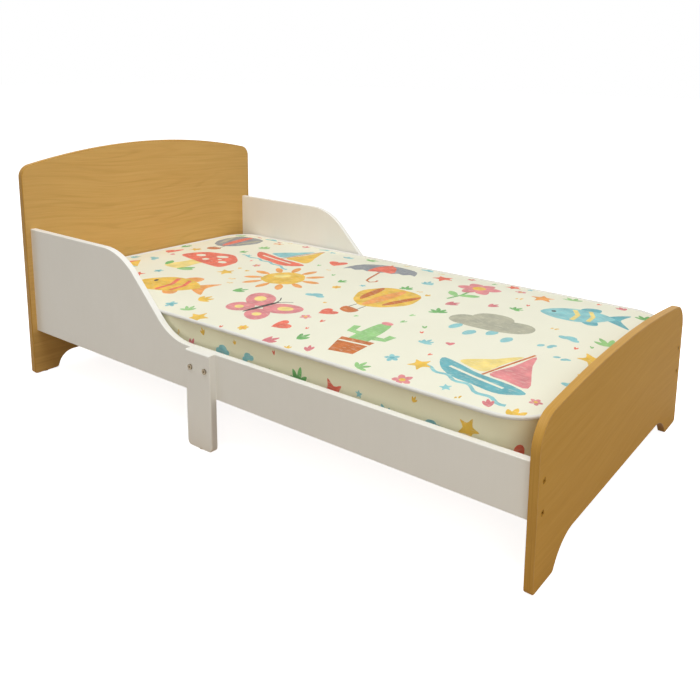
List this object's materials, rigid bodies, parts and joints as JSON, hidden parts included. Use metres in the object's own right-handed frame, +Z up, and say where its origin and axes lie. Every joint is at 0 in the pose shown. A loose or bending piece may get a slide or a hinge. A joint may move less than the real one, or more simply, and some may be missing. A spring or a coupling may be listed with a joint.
{
  "type": "toddler bed",
  "caption": "Low child's bed with arched end boards, side panels that rise into guards at the head end, centre legs, a slatted base and a loose foam mattress.",
  "frame": {"origin": "on the floor under the middle of the bed", "axes": "+X from the headboard to the footboard, +Y to the right as seen from the foot end, +Z up"},
  "size_m": [1.436, 0.7688, 0.5879],
  "materials": {
    "beech_board": "beech-effect faced board, satin",
    "edge_band": "pale beech-effect edging, satin",
    "white_board": "white lacquered fibreboard, satin",
    "pine": "planed softwood, unfinished",
    "beech_dowel": "fluted beech, unfinished",
    "webbing": "woven polyester webbing",
    "plated_steel": "zinc and nickel plated",
    "glide_plastic": "moulded polyethylene",
    "foam": "polyurethane foam",
    "printed_cotton": "printed cream cotton over thin wadding",
    "white_piping": "covered cord piping"
  },
  "bodies": {
    "bedstead": {"centre_leg_left": "white_board", "centre_leg_right": "white_board", "footboard": "beech_board", "footboard_barrel_nuts": "plated_steel", "footboard_bolts": "plated_steel", "footboard_dowels": "beech_dowel", "footboard_edge_band": "edge_band", "glides": "glide_plastic", "guard_inserts": "plated_steel", "headboard": "beech_board", "headboard_barrel_nuts": "plated_steel", "headboard_bolts": "plated_steel", "headboard_dowels": "beech_dowel", "headboard_edge_band": "edge_band", "ledge_screws": "plated_steel", "leg_bolts": "plated_steel", "leg_tee_nuts": "plated_steel", "side_panel_left": "white_board", "side_panel_right": "white_board", "slat_01": "pine", "slat_02": "pine", "slat_03": "pine", "slat_04": "pine", "slat_05": "pine", "slat_06": "pine", "slat_07": "pine", "slat_08": "pine", "slat_09": "pine", "slat_10": "pine", "slat_11": "pine", "slat_12": "pine", "slat_13": "pine", "slat_ledge_left_foot": "pine", "slat_ledge_left_head": "pine", "slat_ledge_right_foot": "pine", "slat_ledge_right_head": "pine", "slat_screws": "plated_steel", "stretcher": "pine", "stretcher_screws": "plated_steel", "webbing_left": "webbing", "webbing_right": "webbing"},
    "mattress": {"mattress_core": "foam", "mattress_cover": "printed_cotton", "mattress_piping_lower": "white_piping", "mattress_piping_upper": "white_piping"}
  },
  "joints": [
    {"name": "mattress_lift", "type": "slide", "parent": "bedstead", "child": "mattress", "axis": [0, 0, 1], "range_m": [0, 0.25]}
  ]
}
